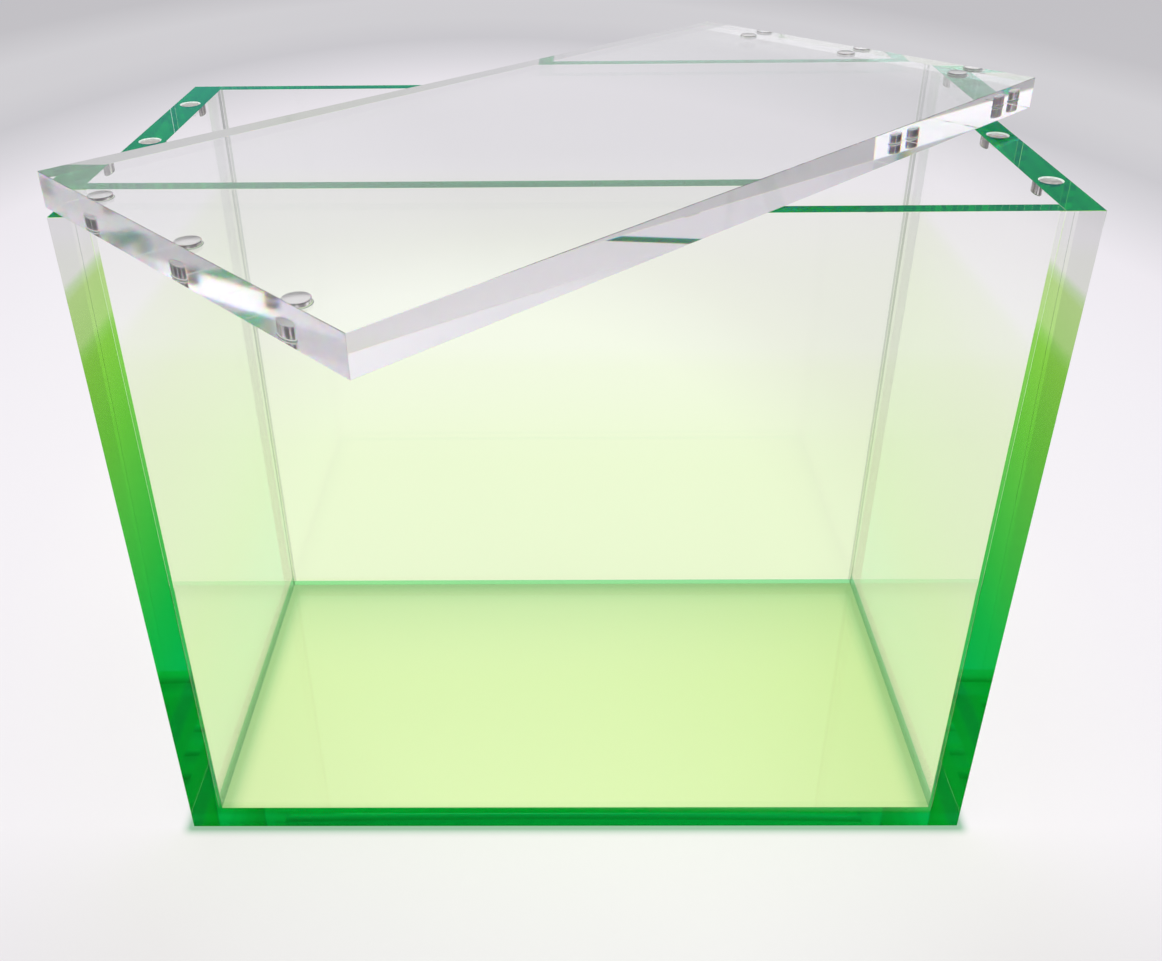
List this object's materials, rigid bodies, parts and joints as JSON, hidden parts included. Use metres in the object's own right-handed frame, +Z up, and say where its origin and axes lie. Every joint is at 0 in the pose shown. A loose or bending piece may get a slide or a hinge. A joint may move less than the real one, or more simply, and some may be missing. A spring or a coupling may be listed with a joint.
{
  "type": "trading card box case",
  "caption": "Clear acrylic case for a boxed set of trading cards, dyed green from the base up, with a loose flat lid that magnets draw shut.",
  "frame": {"origin": "centre of the tub's underside, on the surface it stands on", "axes": "+Z up, +X to the right and +Y to the back, seen from the front of the tub"},
  "size_m": [0.224, 0.2224, 0.1837],
  "materials": {
    "dyed_acrylic": "polished clear acrylic, dyed green towards the foot",
    "dyed_base": "polished clear acrylic, dyed green",
    "clear_acrylic": "polished clear acrylic",
    "nickel_plate": "bright nickel plating, slightly worn"
  },
  "bodies": {
    "tub": {"base_plate": "dyed_base", "left_wall": "dyed_acrylic", "right_wall": "dyed_acrylic", "front_wall": "dyed_acrylic", "back_wall": "dyed_acrylic", "rim_magnet_left_front": "nickel_plate", "rim_magnet_left_middle": "nickel_plate", "rim_magnet_left_back": "nickel_plate", "rim_magnet_right_front": "nickel_plate", "rim_magnet_right_middle": "nickel_plate", "rim_magnet_right_back": "nickel_plate"},
    "lid": {"lid_panel": "clear_acrylic", "lid_magnet_left_front": "nickel_plate", "lid_magnet_left_middle": "nickel_plate", "lid_magnet_left_back": "nickel_plate", "lid_magnet_right_front": "nickel_plate", "lid_magnet_right_middle": "nickel_plate", "lid_magnet_right_back": "nickel_plate"}
  },
  "joints": [
    {"name": "lid_lift", "type": "slide", "parent": "tub", "child": "lid", "axis": [0, 0, 1], "range_m": [0, 0.18]}
  ]
}
